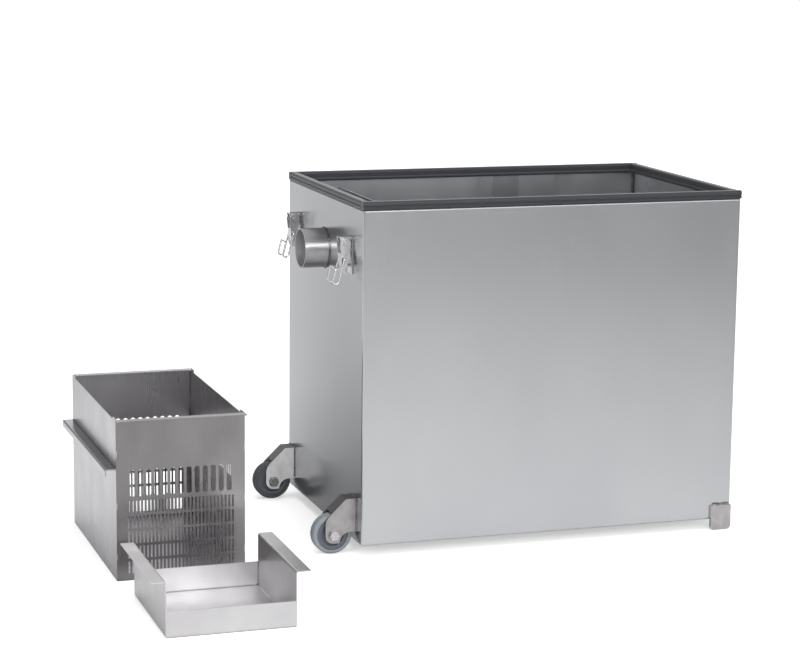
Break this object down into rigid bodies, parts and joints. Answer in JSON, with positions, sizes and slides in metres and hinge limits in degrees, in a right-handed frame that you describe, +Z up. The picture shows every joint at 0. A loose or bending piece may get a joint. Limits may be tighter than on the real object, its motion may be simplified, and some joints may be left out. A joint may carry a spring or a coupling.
{
  "type": "grease trap",
  "caption": "Free-standing stainless steel grease trap: open tank on castors and feet with rubber rim seal, toggle latches and pipe stubs, with its strainer basket and tray beside it.",
  "frame": {"origin": "middle of the whole set's box, on the floor", "axes": "+X along the tank's length from the inlet end to the outlet end, +Y from front to back, +Z up"},
  "size_m": [1.023, 0.7006, 0.529],
  "materials": {
    "tank_steel": "satin",
    "pipe_steel": "satin",
    "fork_steel": "zinc plated",
    "bolt_steel": "zinc plated",
    "latch_steel": "polished",
    "basket_steel": "satin",
    "tray_steel": "satin",
    "seal_rubber": "matte",
    "tyre_rubber": "matte",
    "wheel_plastic": "matte"
  },
  "bodies": {
    "tank": {"tank_shell": "tank_steel", "rim_seal_front": "seal_rubber", "rim_seal_back": "seal_rubber", "rim_seal_left": "seal_rubber", "rim_seal_right": "seal_rubber", "inlet_stub": "pipe_steel", "inlet_hood": "tank_steel", "baffle_plate": "tank_steel", "outlet_stub": "pipe_steel", "outlet_dip": "pipe_steel", "foot_front": "tank_steel", "foot_back": "tank_steel", "fork_front": "fork_steel", "fork_back": "fork_steel", "axle_bolt_front": "bolt_steel", "axle_bolt_back": "bolt_steel", "axle_nut_front": "bolt_steel", "axle_nut_back": "bolt_steel", "axle_washer_front": "bolt_steel", "axle_washer_back": "bolt_steel", "axle_sleeve_front": "bolt_steel", "axle_sleeve_back": "bolt_steel", "latch_base_front": "latch_steel", "latch_base_back": "latch_steel", "latch_pin_front": "latch_steel", "latch_pin_back": "latch_steel", "basket_front": "basket_steel", "basket_back": "basket_steel", "basket_left": "basket_steel", "basket_right": "basket_steel", "basket_floor": "basket_steel", "basket_hook": "basket_steel", "tray": "tray_steel"},
    "wheel_front": {"wheel_core_front": "wheel_plastic", "tyre_front": "tyre_rubber"},
    "wheel_back": {"wheel_core_back": "wheel_plastic", "tyre_back": "tyre_rubber"},
    "lever_front": {"latch_lever_front": "latch_steel"},
    "lever_back": {"latch_lever_back": "latch_steel"},
    "bail_front": {"latch_bail_front": "latch_steel"},
    "bail_back": {"latch_bail_back": "latch_steel"}
  },
  "joints": [
    {"name": "wheel_front_spin", "type": "hinge", "parent": "tank", "child": "wheel_front", "pos_m": [-0.1615, -0.01425, 0.03], "axis": [0, 1, 0], "continuous": true},
    {"name": "wheel_back_spin", "type": "hinge", "parent": "tank", "child": "wheel_back", "pos_m": [-0.1615, 0.32575, 0.03], "axis": [0, 1, 0], "continuous": true},
    {"name": "lever_front_open", "type": "hinge", "parent": "tank", "child": "lever_front", "pos_m": [-0.137, 0.00775, 0.461], "axis": [0, 1, 0], "range_deg": [0, 120]},
    {"name": "lever_back_open", "type": "hinge", "parent": "tank", "child": "lever_back", "pos_m": [-0.137, 0.28375, 0.461], "axis": [0, 1, 0], "range_deg": [0, 120]},
    {"name": "bail_front_swing", "type": "hinge", "parent": "lever_front", "child": "bail_front", "pos_m": [-0.14, 0.00775, 0.441], "axis": [0, -1, 0], "range_deg": [-115, 16]},
    {"name": "bail_back_swing", "type": "hinge", "parent": "lever_back", "child": "bail_back", "pos_m": [-0.14, 0.28375, 0.441], "axis": [0, -1, 0], "range_deg": [-115, 16]}
  ]
}
